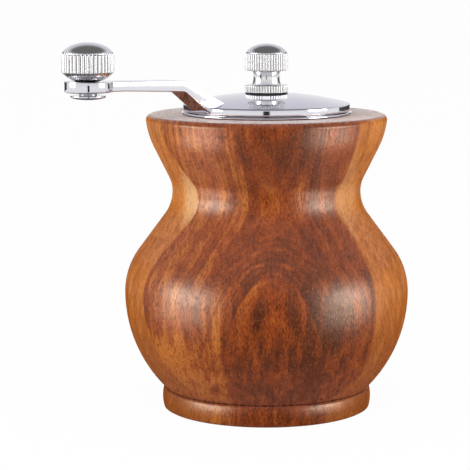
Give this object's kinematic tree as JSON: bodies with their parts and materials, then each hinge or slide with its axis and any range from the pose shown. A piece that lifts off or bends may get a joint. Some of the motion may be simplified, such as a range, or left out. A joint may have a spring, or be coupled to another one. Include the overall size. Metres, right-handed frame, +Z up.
{
  "type": "burr coffee grinder",
  "caption": "Hand burr coffee grinder: waisted turned wooden body, removable foot cup, conical burrs on a vertical shaft, bright domed lid with crank arm, fluted knob and finial nut",
  "frame": {"origin": "centre of the foot's flat underside", "axes": "+Z up along the shaft; at rest the crank arm and its knob lie along -X; the Y axis completes a right-handed frame"},
  "size_m": [0.1377, 0.102, 0.1336],
  "materials": {
    "body_wood": "satin lacquered hardwood, red-brown with orange sapwood bands",
    "foot_wood": "satin lacquered hardwood, red-brown",
    "chrome": "mirror polished",
    "steel": "bright machined",
    "bronze": "turned, plain",
    "iron": "fine cast, dark",
    "burr_iron": "hardened and ground",
    "rubber": "black, matt"
  },
  "bodies": {
    "base": {"base_cup": "foot_wood", "cup_seal": "rubber"},
    "housing": {"mill_body": "body_wood", "top_collar": "chrome", "shaft_bridge": "steel", "bridge_screws": "steel", "upper_bushing": "bronze", "burr_housing": "iron", "housing_screws": "steel", "outer_burr": "burr_iron", "lower_bushing": "bronze"},
    "spindle": {"drive_shaft": "steel", "shaft_clip": "steel", "spring_washer": "steel", "burr_spring": "steel"},
    "cone": {"inner_burr": "burr_iron", "detent_washer": "steel"},
    "adjuster": {"adjusting_nut": "bronze"},
    "crank": {"crank_lid": "chrome", "knob_bolt": "chrome", "bolt_washer": "steel", "knob_clip": "steel"},
    "finial_link": {"finial_washer": "rubber"},
    "finial": {"finial_nut": "chrome"},
    "knob": {"crank_knob": "chrome"}
  },
  "joints": [
    {"name": "body_off", "type": "slide", "parent": "base", "child": "housing", "axis": [0, 0, 1], "range_m": [0, 0.03]},
    {"name": "crank_spin", "type": "hinge", "parent": "housing", "child": "spindle", "pos_m": [0, 0, 0.0945], "axis": [0, 0, 1], "continuous": true},
    {"name": "burr_gap", "type": "slide", "parent": "spindle", "child": "cone", "axis": [0, 0, -1], "range_m": [0, 0.0016], "deforming": ["burr_spring"]},
    {"name": "adjuster_turn", "type": "hinge", "parent": "cone", "child": "adjuster", "pos_m": [0, 0, 0.0355], "axis": [0, 0, -1], "range_deg": [0, 576]},
    {"name": "lid_lift", "type": "slide", "parent": "spindle", "child": "crank", "axis": [0, 0, 1], "range_m": [0, 0.03]},
    {"name": "finial_rise", "type": "slide", "parent": "crank", "child": "finial_link", "axis": [0, 0, 1], "range_m": [0, 0.0048]},
    {"name": "finial_turn", "type": "hinge", "parent": "finial_link", "child": "finial", "pos_m": [0, 0, 0.12], "axis": [0, 0, 1], "range_deg": [0, 2160]},
    {"name": "knob_spin", "type": "hinge", "parent": "crank", "child": "knob", "pos_m": [-0.078, 0, 0.125], "axis": [0, 0, 1], "continuous": true}
  ],
  "couplings": [
    {"joint": "burr_gap", "follows": "adjuster_turn", "m_per_rad": 0.000159},
    {"joint": "finial_rise", "follows": "finial_turn", "m_per_rad": 0.000127}
  ]
}
